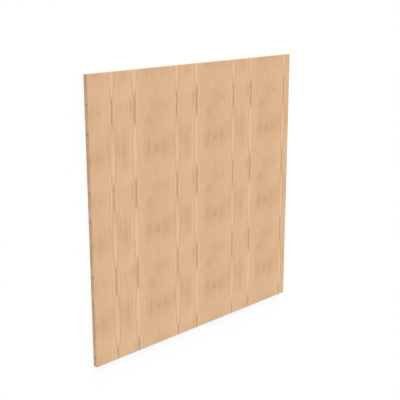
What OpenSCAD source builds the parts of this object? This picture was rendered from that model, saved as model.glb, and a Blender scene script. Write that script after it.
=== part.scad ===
// Plywood sheet: a square half-size panel of birch plywood, lying flat on its back.
// It is one bonded piece, so it is one solid. Millimetres, +Z up.
// The origin is at the middle of the underside, and the face grain runs along Y.

/* [Sheet] */
// Width of the sheet, across the face grain
sheet_w = 1250; // [200:1:2500]
// Length of the sheet, along the face grain
sheet_l = 1250; // [200:1:3000]

/* [Lay-up] */
// Number of veneers in the lay-up, an odd number so that the sheet stays flat
ply_count = 15; // [3:2:25]
// Thickness of one pressed and sanded veneer
ply_t = 1.4; // [1:0.1:3.6]

/* [Edges] */
// Width, on the faces, of the eased arris round both faces
face_ease = 0.5; // [0.1:0.1:1]
// Depth, down the edges, of the eased arris round both faces
edge_ease = 0.5; // [0.1:0.1:1]
// Width of the eased upright arris at each corner of the sheet
corner_ease = 0.8; // [0.1:0.1:3]

/* [Hidden] */
// Thickness of the whole sheet
sheet_t = ply_count * ply_t;
// Colour of the sanded birch face
birch = [0.86, 0.71, 0.56];
// Extra length of the sections, so that each one runs past the others
overrun = 10;

// A rectangle centred on the origin with its four corners cut back by ease_x and ease_y
module eased_rectangle(width, height, ease_x, ease_y) {
    x = width / 2;
    y = height / 2;
    polygon([
        [x - ease_x, -y], [x, -y + ease_y],
        [x, y - ease_y], [x - ease_x, y],
        [-x + ease_x, y], [-x, y - ease_y],
        [-x, -y + ease_y], [-x + ease_x, -y]
    ]);
}

// The plan of the sheet, drawn up through its thickness
module plan() {
    linear_extrude(sheet_t + 2 * overrun, center = true)
        eased_rectangle(sheet_w, sheet_l, corner_ease, corner_ease);
}

// The section across the face grain, drawn along the length
module cross_section() {
    rotate([90, 0, 0])
        linear_extrude(sheet_l + 2 * overrun, center = true)
            eased_rectangle(sheet_w, sheet_t, face_ease, edge_ease);
}

// The section along the face grain, drawn across the width
module long_section() {
    rotate([0, 0, 90])
        rotate([90, 0, 0])
            linear_extrude(sheet_w + 2 * overrun, center = true)
                eased_rectangle(sheet_l, sheet_t, face_ease, edge_ease);
}

// The sheet is what the plan and the two sections have in common
module plywood_sheet() {
    color(birch)
        translate([0, 0, sheet_t / 2])
            intersection() {
                plan();
                cross_section();
                long_section();
            }
}

plywood_sheet();
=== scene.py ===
"""Looks of a square birch plywood sheet that lies flat with its good face up.

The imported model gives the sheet's place and size. This script builds the sheet's detailed mesh over it,
gives it its veneers and its sawn edges, and sets up the floor, the light and the camera. Lengths are
metres. Places within the veneer's figure are millimetres, counted across and along the grain from the top
left corner of the good face, and the figure repeats both ways.
"""

import logging
import math
from dataclasses import dataclass
from enum import Enum, IntEnum
from typing import NamedTuple

import bmesh
import bpy
from mathutils import Color, Matrix, Vector


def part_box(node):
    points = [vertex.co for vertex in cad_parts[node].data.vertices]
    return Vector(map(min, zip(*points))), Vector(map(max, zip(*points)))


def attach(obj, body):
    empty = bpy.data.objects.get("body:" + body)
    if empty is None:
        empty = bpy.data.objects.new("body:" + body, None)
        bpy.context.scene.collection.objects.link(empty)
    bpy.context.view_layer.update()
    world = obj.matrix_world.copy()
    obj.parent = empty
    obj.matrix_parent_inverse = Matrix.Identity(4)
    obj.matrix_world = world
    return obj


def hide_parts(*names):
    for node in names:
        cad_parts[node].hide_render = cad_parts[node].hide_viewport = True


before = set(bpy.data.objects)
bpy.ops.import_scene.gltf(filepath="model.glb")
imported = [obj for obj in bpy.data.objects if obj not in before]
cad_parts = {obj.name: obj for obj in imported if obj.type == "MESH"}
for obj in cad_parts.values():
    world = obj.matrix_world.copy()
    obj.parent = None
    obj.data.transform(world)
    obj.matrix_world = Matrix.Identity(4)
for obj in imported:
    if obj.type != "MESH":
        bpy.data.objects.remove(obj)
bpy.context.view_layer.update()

log = logging.getLogger("plywood")

Colour = tuple[float, float, float, float]
Socket = bpy.types.NodeSocket
Number = float | Socket
Paint = Colour | Socket
Ring = tuple[Socket, Socket]

MM = 0.001
PER_METRE = 1000.0
FULL_VALUE = 255.0
FULL_TURN = 2.0 * math.pi
NOISE_MEAN = 0.5

# What counts as level, as a sharp arris, and as square on to a sawn edge or to a veneer
TOLERANCE = 1e-6
SHARP = math.radians(60.0)
SQUARE_ON_EDGE = 0.99
SQUARE_ON_VENEER = 0.7

SHEET_NODE = "plywood_sheet"
SHEET_BODY = "root"
SHEET_MAP = "OFBake"


class Tint(Enum):
    """The wood's tints, and the pale tint of a painted sheen, as a screen shows them in plain light."""

    COOL_BIRCH = (218, 180, 142)
    WARM_BIRCH = (221, 180, 141)
    PALE = (239, 202, 165)
    BROWN = (190, 145, 101)
    OLIVE = (192, 156, 116)
    RIM = (189, 142, 103)
    PINCH = (173, 132, 86)
    PORE = (186, 144, 106)
    LONG_GRAIN = (224, 193, 155)
    END_GRAIN = (199, 168, 131)
    END_PORE = (178, 143, 111)
    GLUE = (158, 124, 94)
    FLECK = (112, 80, 54)
    # Painted sheen: a pale cream laid on the edges along X, standing in for the sheen of grazing light on
    # the edge that faces the key lamp
    PAINTED_SHEEN = (222, 206, 184)

    @property
    def colour(self) -> Colour:
        """The tint as the linear colour that a shader takes."""
        shown = Color([value / FULL_VALUE for value in self.value])
        return (*shown.from_srgb_to_scene_linear(), 1.0)


class Surface(IntEnum):
    """The sheet's surfaces, numbered as the finishes on its mesh are."""

    FACE = 0
    EDGE_ALONG_Y = 1
    EDGE_ALONG_X = 2


class Ramp(NamedTuple):
    """How one value follows another: the other one times the gain, plus the base."""

    gain: float
    base: float


class Step(NamedTuple):
    """A smooth step, from 0 where what it reads is at start to high where that is at end."""

    start: float
    end: float
    high: float = 1.0


class Nodes:
    """A node tree to add nodes to."""

    def __init__(self, tree: bpy.types.NodeTree) -> None:
        """Takes the tree."""
        self.tree = tree

    def feed(self, target: Socket, value: Number | Paint) -> None:
        """Links an output to an input, or sets the input's own value.

        Args:
            target: The input.
            value: An output to link, or a plain value.
        """
        if isinstance(value, Socket):
            self.tree.links.new(value, target)
        else:
            target.default_value = value

    def add(self, kind: str, *values: Number | Paint) -> bpy.types.Node:
        """Adds a node.

        Args:
            kind: Blender's name of its kind.
            *values: Its first inputs, in order.

        Returns:
            The node.
        """
        node = self.tree.nodes.new(kind)
        for target, value in zip(node.inputs, values):
            self.feed(target, value)
        return node

    def math(self, operation: str, *values: Number) -> Socket:
        """Adds a Math node.

        Args:
            operation: Blender's name of the operation.
            *values: The inputs, in order.

        Returns:
            The result.
        """
        node = self.add("ShaderNodeMath", *values)
        node.operation = operation
        return node.outputs[0]


class FinishNodes(Nodes):
    """The node tree of one of the sheet's finishes."""

    # A Mix node has sockets for each kind of data, and these are the numbers of its colours
    FIRST_COLOUR = 6
    SECOND_COLOUR = 7
    MIXED_COLOUR = 2

    def __init__(self, name: str) -> None:
        """Starts a material with its Principled shader.

        Args:
            name: The finish's name.
        """
        self.material = bpy.data.materials.new(name)
        self.material.use_nodes = True
        super().__init__(self.material.node_tree)
        self.shader = self.tree.nodes["Principled BSDF"]

    def soft_step(self, value: Number, start: Number, end: Number, high: Number = 1.0) -> Socket:
        """Rises smoothly from 0, where the value is at start, to high, where it is at end.

        Args:
            value: What the step reads.
            start: Where it begins to rise. It may be above end.
            end: Where it is at its full height.
            high: The full height.

        Returns:
            The height.
        """
        node = self.add("ShaderNodeMapRange", value, start, end, 0.0, high)
        node.interpolation_type = "SMOOTHSTEP"
        return node.outputs[0]

    def blend(self, share: Number, first: Paint, second: Paint) -> Socket:
        """Mixes two colours.

        Args:
            share: How much of the second colour shows, from 0 to 1.
            first: The colour at 0.
            second: The colour at 1.

        Returns:
            The mixed colour.
        """
        node = self.add("ShaderNodeMix", share)
        node.data_type = "RGBA"
        self.feed(node.inputs[self.FIRST_COLOUR], first)
        self.feed(node.inputs[self.SECOND_COLOUR], second)
        return node.outputs[self.MIXED_COLOUR]

    def place(self) -> tuple[Socket, Socket, Socket]:
        """Finds the point on the sheet.

        Returns:
            Its X, Y and Z, in metres.
        """
        where = self.add("ShaderNodeTexCoord").outputs["Object"]
        parts = self.add("ShaderNodeSeparateXYZ", where).outputs
        return parts[0], parts[1], parts[2]

    def vector(self, x: Number, y: Number, z: Number) -> Socket:
        """Joins three numbers into a vector."""
        return self.add("ShaderNodeCombineXYZ", x, y, z).outputs[0]

    def noise(self, where: Socket, fourth: Socket, detail: float) -> Socket:
        """Adds a noise texture, with cells of one unit.

        Args:
            where: The point to read, in units.
            fourth: The point's fourth coordinate.
            detail: How many finer layers the noise has.

        Returns:
            The noise, about 0.5 on average.
        """
        node = self.add("ShaderNodeTexNoise", where)
        node.noise_dimensions = "4D"
        self.feed(node.inputs["W"], fourth)
        node.inputs["Scale"].default_value = 1.0
        node.inputs["Detail"].default_value = detail
        return node.outputs[0]

    def finish(
        self, colour: Paint, roughness: Number, sheen: float, height: Socket, relief: float
    ) -> bpy.types.Material:
        """Wires the finished colour, roughness and relief to the shader.

        Args:
            colour: The surface's colour.
            roughness: Its roughness.
            sheen: How strongly it reflects, where 0.5 is usual.
            height: Its fine relief, from about 0 to 1.
            relief: The depth of that relief, in metres.

        Returns:
            The finished material.
        """
        bump = self.add("ShaderNodeBump")
        bump.inputs["Strength"].default_value = 1.0
        bump.inputs["Distance"].default_value = relief
        self.feed(bump.inputs["Height"], height)
        self.feed(self.shader.inputs["Base Color"], colour)
        self.feed(self.shader.inputs["Roughness"], roughness)
        self.feed(self.shader.inputs["Normal"], bump.outputs[0])
        self.shader.inputs["Specular IOR Level"].default_value = sheen
        return self.material


@dataclass(frozen=True)
class Mark:
    """A soft patch or line of another tint in the veneer. Places and sizes are millimetres.

    Attributes:
        across: Its middle, across the grain.
        along: Its middle, along the grain.
        half_width: Half its width, out to where it has faded away.
        half_length: Half its length, out to where it has faded away.
        depth: How much of the tint shows in the middle, from 0 to 1.
        fade: The share of its half length over which its ends fade.
        flat: The share of its half width over which it is even.
    """

    across: float
    along: float
    half_width: float
    half_length: float
    depth: float
    fade: float = 1.0
    flat: float = 0.0


class Flank(NamedTuple):
    """One side of a column: how far a lens bends the grain, and how far out that reaches."""

    bend: float
    reach: float


class LensColumn(NamedTuple):
    """A column of the figure, where the grain parts round long lenses and closes up between them."""

    across: float
    left: Flank
    right: Flank


@dataclass(frozen=True)
class Figure:
    """The veneer's figure, which repeats both ways. All in millimetres.

    Attributes:
        repeat: The length after which the figure repeats, across and along the grain.
        pinch: The place along the grain where the lenses close up.
        half_width: Half the width of the closed grain, which a lens spreads apart.
        swell: The power that shapes the lenses. A higher one gives longer pinches between them.
        shift_across: How far the back veneer is shifted across the grain, as a share of a repeat.
        shift_along: How far it is shifted along the grain, as the far edges are too.
    """

    repeat: float = 362.5
    pinch: float = 163.5
    half_width: float = 4.3
    swell: float = 1.8
    shift_across: float = 3.0 / 8.0
    shift_along: float = 5.0 / 8.0

    @property
    def far_across(self) -> float:
        """How far the back veneer is shifted across the grain."""
        return self.repeat * self.shift_across

    @property
    def far_along(self) -> float:
        """How far the back veneer and the far edges are shifted along their length."""
        return self.repeat * self.shift_along


FIGURE = Figure()

COLUMNS = (
    LensColumn(120.0, left=Flank(9.3, 45.0), right=Flank(12.0, 85.0)),
    LensColumn(241.8, left=Flank(11.8, 85.0), right=Flank(10.4, 45.0)),
)

# Grain lines, at their places across the grain where the columns are closed up
GRAIN_LINES = {
    Tint.PALE: (
        Mark(120.6, 347.0, 4.6, 124.0, 0.30, 0.3),
        Mark(117.0, 58.0, 3.0, 60.0, 0.26, 0.5),
        Mark(64.5, 205.0, 3.4, 80.0, 0.30, 0.5),
        Mark(76.0, 180.0, 3.2, 185.0, 0.40, 0.2),
        Mark(88.3, 150.0, 3.6, 160.0, 0.66, 0.6),
        Mark(88.3, 0.0, 3.2, 80.0, 0.24, 0.4),
        Mark(106.6, 130.0, 5.2, 115.0, 0.80, 0.5),
        Mark(133.8, 120.0, 4.2, 150.0, 0.28, 0.4),
        Mark(150.0, 195.0, 3.6, 66.0, 0.34, 0.4),
        Mark(208.0, 140.0, 3.8, 130.0, 0.34, 0.5),
        Mark(217.5, 65.0, 5.0, 45.0, 0.34, 0.6),
        Mark(226.3, 335.0, 4.2, 155.0, 0.60, 0.2),
        Mark(242.2, 344.8, 5.0, 124.0, 0.42, 0.2),
        Mark(255.3, 208.0, 4.2, 170.0, 0.66, 0.6),
        Mark(273.0, 200.0, 3.2, 185.0, 0.38, 0.3),
        Mark(285.8, 150.0, 3.0, 185.0, 0.34, 0.4),
    ),
    Tint.RIM: (
        Mark(113.7, 62.0, 2.4, 66.0, 0.80, 0.6),
        Mark(114.0, 284.0, 2.4, 92.0, 0.62, 0.4),
        Mark(125.4, 25.0, 2.4, 85.0, 0.56, 0.4),
        Mark(125.8, 276.0, 2.8, 82.0, 0.78, 0.5),
        Mark(59.5, 205.0, 2.8, 60.0, 0.24, 0.6),
        Mark(70.0, 180.0, 2.6, 185.0, 0.24, 0.2),
        Mark(82.0, 180.0, 2.6, 185.0, 0.26, 0.2),
        Mark(96.5, 215.0, 3.2, 160.0, 0.46, 0.7),
        Mark(143.0, 235.0, 3.4, 120.0, 0.44, 0.35),
        Mark(219.5, 150.0, 8.0, 45.0, 0.30, 0.5),
        Mark(235.8, 330.0, 2.6, 125.0, 0.50, 0.3),
        Mark(235.0, 100.0, 3.0, 45.0, 0.60, 0.6),
        Mark(247.5, 325.0, 2.4, 90.0, 0.42, 0.5),
        Mark(265.8, 180.0, 3.0, 185.0, 0.24, 0.3),
        Mark(279.7, 150.0, 2.8, 185.0, 0.20, 0.4),
        Mark(292.0, 20.0, 2.6, 130.0, 0.26, 0.5),
    ),
    Tint.PINCH: (
        Mark(119.6, 162.0, 3.8, 62.0, 0.70, 0.25, 0.4),
        Mark(241.8, 162.0, 4.2, 60.0, 0.60, 0.2, 0.4),
    ),
}

# Stains and paler zones of the veneer
STAINS = {
    Tint.BROWN: (
        Mark(0.0, 345.0, 900.0, 85.0, 0.08),
        Mark(0.0, 342.0, 120.0, 95.0, 0.17),
        Mark(0.0, 347.0, 19.0, 30.0, 0.36),
        Mark(23.0, 342.0, 14.0, 40.0, 0.12),
        Mark(50.0, 342.0, 30.0, 66.0, 0.19),
        Mark(79.0, 330.0, 16.0, 42.0, 0.10),
        Mark(302.0, 345.0, 12.0, 42.0, 0.11),
        Mark(318.0, 331.0, 16.0, 76.0, 0.40, 0.7),
        Mark(163.0, 302.0, 42.0, 75.0, 0.24),
        Mark(178.0, 2.0, 12.0, 74.0, 0.26),
        Mark(188.0, 312.0, 14.0, 42.0, 0.09),
        Mark(92.0, 322.0, 18.0, 45.0, 0.12),
        Mark(109.0, 332.0, 24.0, 44.0, 0.18),
        Mark(262.0, 350.0, 30.0, 30.0, 0.07),
    ),
    Tint.OLIVE: (
        Mark(358.0, 156.0, 56.0, 72.0, 0.28),
        Mark(50.0, 165.0, 28.0, 30.0, 0.14),
        Mark(334.0, 245.0, 52.0, 70.0, 0.26),
        Mark(206.0, 283.0, 32.0, 38.0, 0.16),
        Mark(142.0, 178.0, 18.0, 42.0, 0.08),
        Mark(291.0, 243.0, 20.0, 34.0, 0.14),
    ),
    Tint.RIM: (
        Mark(48.0, 162.0, 7.0, 13.0, 0.70),
        Mark(316.0, 218.0, 30.0, 36.0, 0.34),
    ),
    Tint.PALE: (
        Mark(186.0, 103.0, 54.0, 65.0, 0.20),
        Mark(141.0, 90.0, 26.0, 60.0, 0.14),
        Mark(341.0, 107.0, 18.0, 26.0, 0.20),
        Mark(60.0, 85.0, 80.0, 50.0, 0.14),
        Mark(62.0, 258.0, 46.0, 45.0, 0.18),
        Mark(74.0, 118.0, 22.0, 34.0, 0.14),
        Mark(94.0, 113.0, 24.0, 34.0, 0.13),
        Mark(72.0, 214.0, 22.0, 32.0, 0.12),
        Mark(98.0, 207.0, 26.0, 38.0, 0.10),
        Mark(175.0, 205.0, 24.0, 48.0, 0.12),
        Mark(206.0, 14.0, 15.0, 45.0, 0.14),
        Mark(205.0, 225.0, 25.0, 35.0, 0.10),
        Mark(272.0, 335.0, 18.0, 110.0, 0.14, 0.5),
        Mark(268.0, 200.0, 18.0, 52.0, 0.14),
        Mark(243.0, 85.0, 24.0, 55.0, 0.13),
        Mark(285.0, 288.0, 13.0, 24.0, 0.12),
        Mark(300.0, 299.0, 12.0, 22.0, 0.12),
    ),
}


class EdgeTone(NamedTuple):
    """A stretch of the edges with another tone in every ply, which fades away to both sides."""

    along: float
    half_length: float
    depth: float
    tint: Tint


EDGE_TONES = (
    EdgeTone(25.0, 75.0, 0.22, Tint.BROWN),
    EdgeTone(96.0, 40.0, 0.30, Tint.PALE),
    EdgeTone(160.0, 25.0, 0.10, Tint.OLIVE),
    EdgeTone(202.0, 28.0, 0.26, Tint.PALE),
    EdgeTone(282.0, 40.0, 0.14, Tint.OLIVE),
    EdgeTone(350.0, 40.0, 0.10, Tint.BROWN),
)


@dataclass(frozen=True)
class Grain:
    """A layer of noise in the wood. Sizes are millimetres.

    Attributes:
        across: The size of its cells across the grain, or up an edge. At 0 it is even that way.
        along: Their size along the grain, or along an edge.
        detail: How many finer layers it has.
        spread: How far from its mean it changes the wood's tone in full, where it does so both ways.
    """

    across: float
    along: float
    detail: float = 0.0
    spread: float = 0.3


@dataclass(frozen=True)
class FaceLook:
    """How the layers of the faces' finish show. Lengths are millimetres, apart from the relief.

    Attributes:
        wander: The slow noise that moves the grain and the stains about.
        grain_wander: How far it moves the grain sideways.
        stain_wander: How far it moves the stains across and along the grain.
        mottle: The noise of the broad clouds.
        mottle_share: How much the clouds show.
        streak: The noise of the long streaks, which bend round the columns.
        streak_share: How much the streaks show, by how near a column is.
        stain_share: How much the stains show, by the streaks.
        fibre: The noise of the fibres, which bend round the lenses.
        fibre_share: How much the fibres show.
        line_share: How much the grain lines show, by the fibres.
        line_ends: How far the ends of the grain lines are moved, by the fibres.
        pore: The noise of the pores.
        pore_tone: Where that noise makes a pore, and how much of the pores' tint shows.
        pore_depth: How deep the pores are against the height of the fibres.
        roughness: The roughness, by the fibres.
        sheen: How strongly the surface reflects.
        relief: The height of the fibres, in metres.
    """

    wander: Grain = Grain(60.0, 90.0, 1.0)
    grain_wander: float = 4.0
    stain_wander: tuple[float, float] = (7.0, -10.0)
    mottle: Grain = Grain(20.0, 40.0, 2.0)
    mottle_share: float = 0.16
    streak: Grain = Grain(3.6, 130.0, 1.0)
    streak_share: Ramp = Ramp(0.44, 0.06)
    stain_share: Ramp = Ramp(1.6, 0.2)
    fibre: Grain = Grain(1.2, 30.0, 1.0, 0.35)
    fibre_share: float = 0.3
    line_share: Ramp = Ramp(1.2, 0.48)
    line_ends: Ramp = Ramp(100.0, -50.0)
    pore: Grain = Grain(0.6, 7.0)
    pore_tone: Step = Step(0.62, 0.8, 0.5)
    pore_depth: float = 0.5
    roughness: Ramp = Ramp(0.16, 0.64)
    sheen: float = 0.25
    relief: float = 0.04 * MM


@dataclass(frozen=True)
class EdgeLook:
    """How the layers of the sawn edges' finish show. Lengths are millimetres, apart from the relief.

    Attributes:
        streak: The noise of the long grain.
        streak_tone: Where it darkens the long grain, and how much.
        speck: The noise of the pores in the end grain.
        speck_tone: Where it darkens the end grain, and how much.
        patch: The noise of the tone that changes along each ply.
        patch_share: How much that tone shows.
        ply_shift: How far apart neighbouring plies read their noise, in its cells.
        painted_sheen_share: How much of the pale cream tint the edges along X have, a painted sheen that
            stands in for grazing light on the lit edge.
        glue_line: Where a glue line shows, by the distance from the joint in plies.
        glue_fade: How near the faces the glue lines begin to show, and show in full.
        glue_share: How much of the glue's tint shows.
        glue_depth: How deep the glue lines are against the height of the end grain.
        fleck: Where a fleck shows on the edges along Y, by the distance from it, and how much.
        fleck_sides: How far the noise moves the sides of the flecks.
        roughness: The roughness, by how much end grain there is.
        sheen: How strongly the surface reflects.
        relief: The height of the end grain's specks, in metres.
    """

    streak: Grain = Grain(0.3, 40.0, 2.0)
    streak_tone: Step = Step(0.4, 0.8, 0.7)
    speck: Grain = Grain(0.5, 0.8, 1.0)
    speck_tone: Step = Step(0.35, 0.8, 0.6)
    patch: Grain = Grain(0.0, 70.0, 1.0)
    patch_share: float = 0.4
    ply_shift: float = 7.3
    # The share of the painted sheen, a pale cream standing in for grazing light on the lit edge along X
    painted_sheen_share: float = 0.3
    glue_line: Step = Step(0.12, 0.03)
    glue_fade: tuple[float, float] = (0.5, 0.9)
    glue_share: float = 0.6
    glue_depth: float = 0.6
    fleck: Step = Step(6.0, 1.0, 0.4)
    fleck_sides: Ramp = Ramp(12.0, -12.0)
    roughness: Ramp = Ramp(0.1, 0.65)
    sheen: float = 0.5
    relief: float = 0.06 * MM


class Finish:
    """What the sheet's finishes share: the sheet's corners, the figure, and nodes that repeat with it."""

    def __init__(self, name: str, sheet: "PlywoodSheet") -> None:
        """Starts the finish.

        Args:
            name: The finish's name.
            sheet: The sheet that it is for.
        """
        self.low = sheet.low
        self.high = sheet.high
        self.figure = sheet.figure
        self.nodes = FinishNodes(name)

    def ring(self, place: Socket) -> Ring:
        """Wraps a place round a circle, so that what reads it repeats with the figure.

        Args:
            place: A place across or along the grain, in millimetres.

        Returns:
            The cosine and sine of its angle.
        """
        angle = self.nodes.math("MULTIPLY", place, FULL_TURN / self.figure.repeat)
        return self.nodes.math("COSINE", angle), self.nodes.math("SINE", angle)

    def radius(self, cell: float) -> float:
        """Gives the radius of a ring that noise with cells of this many millimetres is read on."""
        return self.figure.repeat / cell / FULL_TURN

    def distance(self, place: Socket, middle: float) -> Socket:
        """Gives the distance from a place to the nearest repeat of a middle, in millimetres."""
        offset = self.nodes.math("SUBTRACT", place, middle)
        return self.nodes.math("PINGPONG", offset, self.figure.repeat / 2.0)

    def two_tone(self, colour: Paint, noise: Socket, spread: float, share: Number, dark: Tint) -> Socket:
        """Darkens a colour where noise is above its mean, and pales it where noise is below.

        Args:
            colour: The colour.
            noise: The noise.
            spread: How far from its mean the noise has its full effect.
            share: How much of the dark or the pale tint then shows.
            dark: The dark tint.

        Returns:
            The changed colour.
        """
        above = self.nodes.soft_step(noise, NOISE_MEAN, NOISE_MEAN + spread, share)
        colour = self.nodes.blend(above, colour, dark.colour)
        below = self.nodes.soft_step(noise, NOISE_MEAN, NOISE_MEAN - spread, share)
        return self.nodes.blend(below, colour, Tint.PALE.colour)


class FaceVeneer(Finish):
    """The finish of the sheet's two faces: sanded birch with columns of pale lenses and dark pinches."""

    look = FaceLook()

    def figure_place(self) -> tuple[Socket, Socket]:
        """Finds the point's place in the figure, which is shifted on the back veneer.

        Returns:
            The places across and along the grain, in millimetres.
        """
        x, y, z = self.nodes.place()
        back = self.nodes.math("LESS_THAN", z, (self.low.z + self.high.z) / 2.0)
        across = self.nodes.math("MULTIPLY_ADD", x, PER_METRE, -PER_METRE * self.low.x)
        along = self.nodes.math("MULTIPLY_ADD", y, -PER_METRE, PER_METRE * self.high.y)
        return (
            self.nodes.math("MULTIPLY_ADD", back, self.figure.far_across, across),
            self.nodes.math("MULTIPLY_ADD", back, self.figure.far_along, along),
        )

    def noise(self, across_ring: Ring, along_ring: Ring, grain: Grain) -> Socket:
        """Reads noise that repeats with the figure.

        Args:
            across_ring: The place across the grain, from ring().
            along_ring: The place along the grain, from ring().
            grain: The noise's cells and layers.

        Returns:
            The noise, about 0.5 on average.
        """
        wide = self.radius(grain.across)
        tall = self.radius(grain.along)
        where = self.nodes.vector(
            self.nodes.math("MULTIPLY", across_ring[0], wide),
            self.nodes.math("MULTIPLY", across_ring[1], wide),
            self.nodes.math("MULTIPLY", along_ring[0], tall),
        )
        return self.nodes.noise(where, self.nodes.math("MULTIPLY", along_ring[1], tall), grain.detail)

    def paint(
        self,
        colour: Paint,
        across: Socket,
        along: Socket,
        marks: dict[Tint, tuple[Mark, ...]],
        share: Socket,
    ) -> Socket:
        """Lays marks over a colour, one tint after another.

        Args:
            colour: The colour.
            across: The place across the grain.
            along: The place along the grain.
            marks: The marks of each tint.
            share: How much the marks show.

        Returns:
            The marked colour.
        """
        nodes = self.nodes
        for tint, group in marks.items():
            total: Number = 0.0
            for mark in group:
                even_width = mark.half_width * mark.flat
                even_length = mark.half_length * (1.0 - mark.fade)
                aside = self.distance(across, mark.across)
                aside = nodes.soft_step(aside, mark.half_width, even_width, mark.depth)
                ends = self.distance(along, mark.along)
                ends = nodes.soft_step(ends, mark.half_length, even_length)
                total = nodes.math("MULTIPLY_ADD", aside, ends, total)
            colour = nodes.blend(nodes.math("MULTIPLY", total, share), colour, tint.colour)
        return colour

    def opening(self, along: Socket) -> Socket:
        """Works out how far open the lenses are.

        Args:
            along: The place along the grain.

        Returns:
            From 0 at the pinches to 1 where the lenses are widest.
        """
        phase = self.nodes.math("SUBTRACT", along, self.figure.pinch)
        wave = self.nodes.math("SINE", self.nodes.math("MULTIPLY", phase, math.pi / self.figure.repeat))
        return self.nodes.math("POWER", self.nodes.math("ABSOLUTE", wave), self.figure.swell)

    def column(
        self, column: LensColumn, across: Socket, opening: Socket
    ) -> tuple[Socket, Socket, Socket]:
        """Works out how one column bends the grain.

        Args:
            column: The column.
            across: The place across the grain.
            opening: How far open the lens is, from opening().

        Returns:
            How far the grain is pushed to the right, in millimetres; the same outside the lens, but 0
            in it; and 1 beside the column, falling to 0 where the grain is straight again.
        """
        nodes = self.nodes
        half = self.figure.repeat / 2.0
        offset = nodes.math("WRAP", nodes.math("SUBTRACT", across, column.across), half, -half)
        on_right = nodes.math("GREATER_THAN", offset, 0.0)

        def of_flank(left: float, right: float) -> Socket:
            """Chooses between the two flanks' values."""
            return nodes.math("MULTIPLY_ADD", on_right, right - left, left)

        throw = nodes.math("MULTIPLY", of_flank(column.left.bend, column.right.bend), opening)
        rim = nodes.math("ADD", throw, self.figure.half_width)
        reach = of_flank(column.left.reach, column.right.reach)
        aside = nodes.math("ABSOLUTE", offset)
        near = nodes.soft_step(aside, reach, rim)
        share = nodes.math("MINIMUM", nodes.math("DIVIDE", offset, rim), 1.0)
        share = nodes.math("MAXIMUM", share, -1.0)
        push = nodes.math("MULTIPLY", nodes.math("MULTIPLY", throw, near), share)
        outside = nodes.math("MULTIPLY", push, nodes.math("GREATER_THAN", aside, rim))
        return push, outside, near

    def straighten(self, across: Socket, opening: Socket) -> tuple[Socket, Socket, Socket]:
        """Undoes the bends of the grain round the columns.

        Args:
            across: The place across the grain.
            opening: How far open the lenses are, from opening().

        Returns:
            The place across the grain with the columns closed up; the same with the lenses left open; and
            how near a column is, from 0 to 1.
        """
        closed = across
        parted = across
        near: Number = 0.0
        for column in COLUMNS:
            push, outside, beside = self.column(column, across, opening)
            closed = self.nodes.math("SUBTRACT", closed, push)
            parted = self.nodes.math("SUBTRACT", parted, outside)
            near = self.nodes.math("MAXIMUM", beside, near)
        return closed, parted, near

    def build(self) -> bpy.types.Material:
        """Builds the finish.

        Returns:
            The material.
        """
        nodes = self.nodes
        look = self.look
        across, along = self.figure_place()
        across_ring = self.ring(across)
        along_ring = self.ring(along)
        wander = nodes.math("SUBTRACT", self.noise(across_ring, along_ring, look.wander), NOISE_MEAN)
        mottle = self.noise(across_ring, along_ring, look.mottle)
        stain_across = nodes.math("MULTIPLY_ADD", wander, look.stain_wander[0], across)
        stain_along = nodes.math("MULTIPLY_ADD", wander, look.stain_wander[1], along)
        across = nodes.math("MULTIPLY_ADD", wander, look.grain_wander, across)
        opening = self.opening(along)
        closed, parted, near = self.straighten(across, opening)

        streak = self.noise(self.ring(closed), along_ring, look.streak)
        stain_share = nodes.math("MULTIPLY_ADD", streak, *look.stain_share)
        colour = nodes.blend(opening, Tint.COOL_BIRCH.colour, Tint.WARM_BIRCH.colour)
        colour = self.paint(colour, stain_across, stain_along, STAINS, stain_share)
        colour = self.two_tone(colour, mottle, look.mottle.spread, look.mottle_share, Tint.BROWN)
        streak_share = nodes.math("MULTIPLY_ADD", nodes.math("MULTIPLY", near, near), *look.streak_share)
        colour = self.two_tone(colour, streak, look.streak.spread, streak_share, Tint.RIM)

        parted_ring = self.ring(parted)
        fibre = self.noise(parted_ring, along_ring, look.fibre)
        line_share = nodes.math("MULTIPLY_ADD", fibre, *look.line_share)
        ragged = nodes.math("ADD", nodes.math("MULTIPLY_ADD", fibre, *look.line_ends), along)
        colour = self.paint(colour, closed, ragged, GRAIN_LINES, line_share)
        colour = self.two_tone(colour, fibre, look.fibre.spread, look.fibre_share, Tint.RIM)
        pore = self.noise(parted_ring, along_ring, look.pore)
        colour = nodes.blend(nodes.soft_step(pore, *look.pore_tone), colour, Tint.PORE.colour)

        roughness = nodes.math("MULTIPLY_ADD", fibre, *look.roughness)
        height = nodes.math("MULTIPLY_ADD", pore, -look.pore_depth, fibre)
        return nodes.finish(colour, roughness, look.sheen, height, look.relief)


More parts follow.
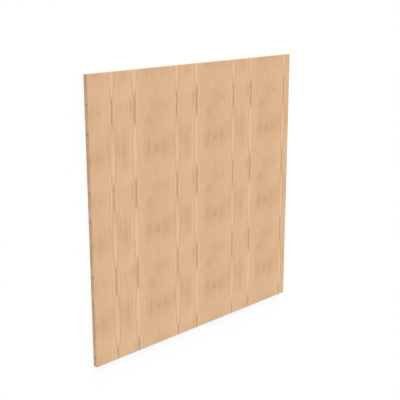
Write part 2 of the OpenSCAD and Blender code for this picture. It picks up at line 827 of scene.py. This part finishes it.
class EdgePlies(Finish):
    """The finish of a pair of sawn edges: plies of long grain and end grain by turns, with glue lines,
    and a painted sheen on the edges along X.
    """

    look = EdgeLook()

    def __init__(self, sheet: "PlywoodSheet", surface: Surface) -> None:
        """Starts the finish.

        Args:
            sheet: The sheet that it is for.
            surface: Which pair of edges it is for.
        """
        super().__init__(f"sawn_{surface.name.lower()}", sheet)
        self.plies = sheet.plies
        self.along_y = surface is Surface.EDGE_ALONG_Y

    def length_place(self, x: Socket, y: Socket) -> Socket:
        """Finds the point's place along its edge, which is shifted on the far edge.

        Args:
            x: The point's X.
            y: The point's Y.

        Returns:
            The place along the edge, in millimetres.
        """
        middle = (self.low + self.high) / 2.0
        if self.along_y:
            far = self.nodes.math("GREATER_THAN", x, middle.x)
            length = self.nodes.math("MULTIPLY_ADD", y, -PER_METRE, PER_METRE * self.high.y)
        else:
            far = self.nodes.math("LESS_THAN", y, middle.y)
            length = self.nodes.math("MULTIPLY_ADD", x, PER_METRE, -PER_METRE * self.low.x)
        return self.nodes.math("MULTIPLY_ADD", far, self.figure.far_along, length)

    def noise(self, ring: Ring, level: Socket, ply: Socket, grain: Grain) -> Socket:
        """Reads noise that repeats along the edge and differs from ply to ply.

        Args:
            ring: The place along the edge, from ring().
            level: The height above the underside, in millimetres.
            ply: The number of the ply.
            grain: The noise's cells and layers.

        Returns:
            The noise, about 0.5 on average.
        """
        up = self.nodes.math("DIVIDE", level, grain.across) if grain.across else 0.0
        size = self.radius(grain.along)
        wrapped = [self.nodes.math("MULTIPLY", part, size) for part in ring]
        where = self.nodes.vector(*wrapped, up)
        shift = self.nodes.math("MULTIPLY", ply, self.look.ply_shift)
        return self.nodes.noise(where, shift, grain.detail)

    def build(self) -> bpy.types.Material:
        """Builds the finish.

        Returns:
            The material.
        """
        nodes = self.nodes
        look = self.look
        x, y, z = nodes.place()
        length = self.length_place(x, y)
        ring = self.ring(length)
        thickness = PER_METRE * (self.high.z - self.low.z)
        level = nodes.math("MULTIPLY_ADD", z, PER_METRE, -PER_METRE * self.low.z)
        count = nodes.math("MULTIPLY", level, self.plies / thickness)
        ply = nodes.math("FLOOR", count)
        crosswise = nodes.math("FLOORED_MODULO", ply, 2.0)
        end_grain = crosswise if self.along_y else nodes.math("SUBTRACT", 1.0, crosswise)

        streak = self.noise(ring, level, ply, look.streak)
        speck = self.noise(ring, level, ply, look.speck)
        patch = self.noise(ring, level, ply, look.patch)
        streaked = nodes.soft_step(streak, *look.streak_tone)
        long_colour = nodes.blend(streaked, Tint.LONG_GRAIN.colour, Tint.RIM.colour)
        specked = nodes.soft_step(speck, *look.speck_tone)
        end_colour = nodes.blend(specked, Tint.END_GRAIN.colour, Tint.END_PORE.colour)
        colour = nodes.blend(end_grain, long_colour, end_colour)
        colour = self.two_tone(colour, patch, look.patch.spread, look.patch_share, Tint.BROWN)
        for tone in EDGE_TONES:
            aside = self.distance(length, tone.along)
            shown = nodes.soft_step(aside, tone.half_length, 0.0, tone.depth)
            colour = nodes.blend(shown, colour, tone.tint.colour)
        # Painted sheen: the edges along X take a pale cream, standing in for the sheen of grazing light
        # on the lit top edge
        if not self.along_y:
            colour = nodes.blend(look.painted_sheen_share, colour, Tint.PAINTED_SHEEN.colour)

        to_joint = nodes.math("PINGPONG", count, 0.5)
        from_middle = nodes.math("ABSOLUTE", nodes.math("SUBTRACT", level, thickness / 2.0))
        inner = nodes.soft_step(from_middle, *(thickness / 2.0 - depth for depth in look.glue_fade))
        glue = nodes.math("MULTIPLY", nodes.soft_step(to_joint, *look.glue_line), inner)
        colour = nodes.blend(nodes.math("MULTIPLY", glue, look.glue_share), colour, Tint.GLUE.colour)
        if self.along_y:
            ragged = nodes.math("MULTIPLY_ADD", nodes.math("ADD", patch, streak), *look.fleck_sides)
            for column in COLUMNS:
                aside = nodes.math("ADD", self.distance(length, column.across), ragged)
                colour = nodes.blend(nodes.soft_step(aside, *look.fleck), colour, Tint.FLECK.colour)

        roughness = nodes.math("MULTIPLY_ADD", end_grain, *look.roughness)
        specks = nodes.math("MULTIPLY", speck, end_grain)
        height = nodes.math("MULTIPLY_ADD", glue, -look.glue_depth, specks)
        return nodes.finish(colour, roughness, look.sheen, height, look.relief)


class MapArea(NamedTuple):
    """A rectangle of the texture, from 0 to 1 each way."""

    left: float
    bottom: float
    right: float
    top: float

    def at(self, across: float, up: float) -> tuple[float, float]:
        """Gives the place at these shares of its width and height."""
        x = self.left + across * (self.right - self.left)
        return x, self.bottom + up * (self.top - self.bottom)


# Where each surface lies on the texture
MAP_AREAS = {
    Surface.FACE: MapArea(0.004, 0.264, 0.996, 0.996),
    Surface.EDGE_ALONG_Y: MapArea(0.004, 0.134, 0.996, 0.254),
    Surface.EDGE_ALONG_X: MapArea(0.004, 0.004, 0.996, 0.124),
}


@dataclass
class PlywoodSheet:
    """The sheet: a block of bonded veneers with eased arrises, whose end-grain plies stand back a little.

    Attributes:
        low: The sheet's lowest corner.
        high: The sheet's highest corner.
        figure: The veneer's figure.
        plies: The number of veneers.
        arris: The width of the eased arrises round both faces.
        corner: The width of the eased arris at each upright corner.
        arris_steps: How many facets an eased arris has.
        step_depth: How far the end-grain plies stand back on the edges.
        step_slope: The width of the slope down to them.
        cuts_per_repeat: How many panels the mesh has to each repeat of the figure.
    """

    low: Vector
    high: Vector
    figure: Figure
    plies: int = 15
    arris: float = 0.5 * MM
    corner: float = 0.8 * MM
    arris_steps: int = 2
    step_depth: float = 0.1 * MM
    step_slope: float = 0.15 * MM
    cuts_per_repeat: int = 8

    def cut(self, mesh: bmesh.types.BMesh, point: Vector, normal: Vector) -> None:
        """Cuts every face that a plane crosses.

        Args:
            mesh: The sheet's mesh.
            point: A point of the plane.
            normal: The plane's normal.
        """
        everything = [*mesh.verts, *mesh.edges, *mesh.faces]
        bmesh.ops.bisect_plane(mesh, geom=everything, dist=TOLERANCE, plane_co=point, plane_no=normal)

    def cut_panels(self, mesh: bmesh.types.BMesh) -> None:
        """Cuts the block at the joints between its veneers, and into panels that follow the figure.

        Args:
            mesh: The sheet's mesh.
        """
        size = self.high - self.low
        for joint in range(1, self.plies):
            level = self.low.z + size.z * joint / self.plies
            self.cut(mesh, Vector((0.0, 0.0, level)), Vector((0.0, 0.0, 1.0)))
        panel = self.figure.repeat * MM / self.cuts_per_repeat
        for index in range(1, math.ceil(size.x / panel)):
            self.cut(mesh, Vector((self.low.x + index * panel, 0.0, 0.0)), Vector((1.0, 0.0, 0.0)))
        for index in range(1, math.ceil(size.y / panel)):
            self.cut(mesh, Vector((0.0, self.high.y - index * panel, 0.0)), Vector((0.0, 1.0, 0.0)))

    def ease(self, mesh: bmesh.types.BMesh, width: float, upright: bool) -> None:
        """Rounds the sheet's sharp arrises.

        Args:
            mesh: The sheet's mesh.
            width: The width of the eased arris.
            upright: Whether to round the upright corners, or else the arrises round the faces.
        """
        sharp = []
        for edge in mesh.edges:
            rise = abs(edge.verts[0].co.z - edge.verts[1].co.z)
            if edge.calc_face_angle(0.0) > SHARP and (rise > TOLERANCE) == upright:
                sharp.append(edge)
        bmesh.ops.bevel(
            mesh,
            geom=sharp,
            offset=width,
            offset_type="OFFSET",
            segments=self.arris_steps,
            profile=0.5,
            affect="EDGES",
            material=-1,
            clamp_overlap=True,
        )

    def ply_of(self, face: bmesh.types.BMFace) -> int:
        """Gives the number of the veneer that a face of an edge belongs to, from 0 at the underside."""
        share = (face.calc_center_median().z - self.low.z) / (self.high.z - self.low.z)
        return int(share * self.plies)

    def step_plies(self, mesh: bmesh.types.BMesh) -> None:
        """Sets the end-grain plies back from the sawn edges.

        The odd plies show their end grain on the edges along Y. On the edges along X the even plies do,
        apart from the two face veneers, which stay flush.

        Args:
            mesh: The sheet's mesh.
        """
        mesh.normal_update()
        for axis, first in ((0, 1), (1, 2)):
            end_grain = range(first, self.plies - 1, 2)
            square_on = [f for f in mesh.faces if abs(f.normal[axis]) > SQUARE_ON_EDGE]
            bmesh.ops.inset_region(
                mesh,
                faces=[f for f in square_on if self.ply_of(f) in end_grain],
                thickness=self.step_slope,
                depth=-self.step_depth,
                use_boundary=True,
                use_even_offset=True,
            )

    def dress(self, mesh: bmesh.types.BMesh) -> None:
        """Gives each face of the mesh the finish of its surface.

        Args:
            mesh: The sheet's mesh.
        """
        mesh.normal_update()
        for face in mesh.faces:
            if abs(face.normal.z) > SQUARE_ON_VENEER:
                face.material_index = Surface.FACE
            elif abs(face.normal.x) > abs(face.normal.y):
                face.material_index = Surface.EDGE_ALONG_Y
            else:
                face.material_index = Surface.EDGE_ALONG_X

    def lay_map(self, mesh: bmesh.types.BMesh) -> None:
        """Lays the surfaces out on a texture, where the repeats of the figure share their place.

        Args:
            mesh: The sheet's mesh, dressed.
        """
        layer = mesh.loops.layers.uv.new(SHEET_MAP)
        middle = (self.low + self.high) / 2.0
        repeat = self.figure.repeat * MM
        thickness = self.high.z - self.low.z
        for face in mesh.faces:
            surface = Surface(face.material_index)
            centre = face.calc_center_median()
            far = {
                Surface.FACE: centre.z < middle.z,
                Surface.EDGE_ALONG_Y: centre.x > middle.x,
                Surface.EDGE_ALONG_X: centre.y < middle.y,
            }[surface]
            middle_place = self.map_place(surface, centre, far)
            start = [math.floor(value / repeat) * repeat for value in middle_place]
            span = [repeat, repeat]
            if surface is not Surface.FACE:
                start[1] = 0.0
                span[1] = thickness
            for loop in face.loops:
                place = self.map_place(surface, loop.vert.co, far)
                shares = [(value - first) / whole for value, first, whole in zip(place, start, span)]
                loop[layer].uv = MAP_AREAS[surface].at(*shares)

    def map_place(self, surface: Surface, point: Vector, far: bool) -> tuple[float, float]:
        """Gives a point's place on its surface, as the surface's finish counts it.

        Args:
            surface: The surface.
            point: The point.
            far: Whether it is on the back veneer or a far edge.

        Returns:
            The places across and along the grain, or along the edge and up from the underside, in metres.
        """
        across = point.x - self.low.x
        along = self.high.y - point.y
        far_across = self.figure.far_across * MM * far
        far_along = self.figure.far_along * MM * far
        if surface is Surface.FACE:
            return across + far_across, along + far_along
        length = along if surface is Surface.EDGE_ALONG_Y else across
        return length + far_along, point.z - self.low.z

    def build(self) -> bpy.types.Object:
        """Builds the sheet's mesh.

        Returns:
            The sheet's object, dressed in its finishes.
        """
        mesh = bmesh.new()
        bmesh.ops.create_cube(mesh, size=1.0)
        bmesh.ops.scale(mesh, vec=self.high - self.low, verts=mesh.verts)
        bmesh.ops.translate(mesh, vec=(self.low + self.high) / 2.0, verts=mesh.verts)
        self.cut_panels(mesh)
        self.ease(mesh, self.corner, upright=True)
        self.ease(mesh, self.arris, upright=False)
        self.step_plies(mesh)
        self.dress(mesh)
        self.lay_map(mesh)
        data = bpy.data.meshes.new("birch_sheet")
        mesh.to_mesh(data)
        mesh.free()
        data.materials.append(FaceVeneer("sanded_birch_face", self).build())
        data.materials.append(EdgePlies(self, Surface.EDGE_ALONG_Y).build())
        data.materials.append(EdgePlies(self, Surface.EDGE_ALONG_X).build())
        sheet = bpy.data.objects.new("birch_sheet", data)
        bpy.context.scene.collection.objects.link(sheet)
        return sheet


@dataclass
class Studio:
    """A plain white floor and soft light, under which a colour renders about as it is written.

    Attributes:
        low: The sheet's lowest corner.
        high: The sheet's highest corner.
        floor_size: The floor's width.
        floor_drop: How far the floor lies below the sheet.
        floor_rim: How far the floor reaches in under the sheet.
        floor_shade: How much of the sheet's shadow the floor shows.
        floor_white: How much of the light the floor gives back.
        sky: The light from all round, where 1 alone would render a colour as written.
        key: The light of the key lamp on the good face, on the same scale.
        key_height: The key lamp's height above the horizon, in degrees.
        key_softness: The width of the key lamp as the sheet sees it, in degrees.
    """

    low: Vector
    high: Vector
    floor_size: float = 60.0
    floor_drop: float = 0.2 * MM
    floor_rim: float = 4.0 * MM
    floor_shade: float = 0.2
    floor_white: float = 0.85
    sky: float = 0.65
    key: float = 0.35
    key_height: float = 26.0
    key_softness: float = 40.0

    def seen(self, nodes: Nodes) -> Socket:
        """Tells whether a ray comes from the camera, straight or by a mirror or glass.

        Args:
            nodes: The node tree to add to.

        Returns:
            1 for such a ray, and 0 for light on its way to a surface.
        """
        rays = nodes.add("ShaderNodeLightPath").outputs
        either = nodes.math("MAXIMUM", rays["Is Camera Ray"], rays["Is Glossy Ray"])
        return nodes.math("MAXIMUM", either, rays["Is Transmission Ray"])

    def floor_finish(self) -> bpy.types.Material:
        """Makes the floor white to the camera, with a faint shadow, and clear from below.

        Returns:
            The material.
        """
        material = bpy.data.materials.new("white_floor")
        material.use_nodes = True
        material.node_tree.nodes.clear()
        nodes = Nodes(material.node_tree)
        white = (self.floor_white, self.floor_white, self.floor_white, 1.0)
        matt = nodes.add("ShaderNodeBsdfDiffuse", white).outputs[0]
        share = 1.0 - self.floor_shade
        glow = nodes.add("ShaderNodeEmission")
        glow.inputs["Strength"].default_value = (1.0 - self.floor_shade * self.floor_white) / share
        shown = nodes.math("MULTIPLY", self.seen(nodes), share)
        lit = nodes.add("ShaderNodeMixShader", shown, matt, glow.outputs[0]).outputs[0]
        below = nodes.add("ShaderNodeNewGeometry").outputs["Backfacing"]
        clear = nodes.add("ShaderNodeBsdfTransparent").outputs[0]
        both = nodes.add("ShaderNodeMixShader", below, lit, clear).outputs[0]
        nodes.add("ShaderNodeOutputMaterial", both)
        return material

    def build_floor(self) -> bpy.types.Object:
        """Builds the floor, with an opening under the sheet so that its underside is lit from below.

        Returns:
            The floor's object.
        """
        mesh = bmesh.new()
        bmesh.ops.create_grid(mesh, x_segments=1, y_segments=1, size=self.floor_size / 2.0)
        opening = self.high.x - self.low.x - 2.0 * self.floor_rim
        margin = (self.floor_size - opening) / 2.0
        under = list(mesh.faces)
        bmesh.ops.inset_region(
            mesh, faces=under, thickness=margin, use_boundary=True, use_even_offset=True
        )
        bmesh.ops.delete(mesh, geom=under, context="FACES")
        bmesh.ops.translate(mesh, vec=(0.0, 0.0, self.low.z - self.floor_drop), verts=mesh.verts)
        data = bpy.data.meshes.new("floor")
        mesh.to_mesh(data)
        mesh.free()
        data.materials.append(self.floor_finish())
        floor = bpy.data.objects.new("floor", data)
        bpy.context.scene.collection.objects.link(floor)
        return floor

    def build_sky(self) -> None:
        """Lights the sheet softly from all round, before a background that the camera sees as white."""
        world = bpy.data.worlds.new("soft_sky")
        world.use_nodes = True
        nodes = Nodes(world.node_tree)
        background = nodes.tree.nodes["Background"]
        background.inputs["Color"].default_value = (1.0, 1.0, 1.0, 1.0)
        level = nodes.math("MULTIPLY_ADD", self.seen(nodes), 1.0 - self.sky, self.sky)
        nodes.feed(background.inputs["Strength"], level)
        bpy.context.scene.world = world

    def build_key(self) -> bpy.types.Object:
        """Builds the key lamp, a soft sun from beyond the sheet's top edge.

        Returns:
            The lamp's object.
        """
        height = math.radians(self.key_height)
        data = bpy.data.lights.new("key_lamp", type="SUN")
        data.energy = self.key * math.pi / math.sin(height)
        data.angle = math.radians(self.key_softness)
        lamp = bpy.data.objects.new("key_lamp", data)
        toward = Vector((0.0, math.cos(height), math.sin(height)))
        lamp.rotation_mode = "QUATERNION"
        lamp.rotation_quaternion = toward.to_track_quat("Z", "Y")
        bpy.context.scene.collection.objects.link(lamp)
        return lamp


@dataclass
class PhotoCamera:
    """A camera at the photograph's viewing angle, seen from the sheet.

    Attributes:
        target: The middle of the good face.
        side: The length of the sheet's side.
        sides_away: The distance to the middle of the good face, in sides.
        left: How far the camera stands to the face's left, in degrees.
        above: How far it stands towards the face's top edge, in degrees.
        lens: The focal length in millimetres, on Blender's usual sensor.
    """

    target: Vector
    side: float
    sides_away: float = 3.0612
    left: float = 45.0
    above: float = 15.0
    lens: float = 74.78

    def build(self) -> bpy.types.Object:
        """Builds the camera and makes it the scene's own.

        Returns:
            The camera's object.
        """
        left = math.radians(self.left)
        above = math.radians(self.above)
        level = math.cos(above)
        back = Vector((-math.sin(left) * level, math.sin(above), math.cos(left) * level))
        right = Vector((0.0, 1.0, 0.0)).cross(back).normalized()
        turn = Matrix((right, back.cross(right), back)).transposed()
        place = self.target + back * (self.side * self.sides_away)
        data = bpy.data.cameras.new("camera")
        data.lens = self.lens
        camera = bpy.data.objects.new("camera", data)
        camera.matrix_world = Matrix.Translation(place) @ turn.to_4x4()
        bpy.context.scene.collection.objects.link(camera)
        bpy.context.scene.camera = camera
        return camera


def main() -> None:
    """Builds the sheet, the studio and the camera in order, and reports each."""
    logging.basicConfig(level=logging.INFO, format="%(name)s: %(message)s")
    bpy.context.scene.view_settings.view_transform = "Standard"
    low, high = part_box(SHEET_NODE)

    sheet = PlywoodSheet(low, high, FIGURE).build()
    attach(sheet, SHEET_BODY)
    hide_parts(SHEET_NODE)
    log.info("%s: %d faces", sheet.name, len(sheet.data.polygons))

    studio = Studio(low, high)
    floor = studio.build_floor()
    studio.build_sky()
    lamp = studio.build_key()
    log.info("%s and %s", floor.name, lamp.name)

    face_middle = Vector(((low.x + high.x) / 2.0, (low.y + high.y) / 2.0, high.z))
    camera = PhotoCamera(face_middle, high.x - low.x).build()
    log.info("%s %.3f m from the good face", camera.name, (camera.location - face_middle).length)


if __name__ == "__main__":
    main()
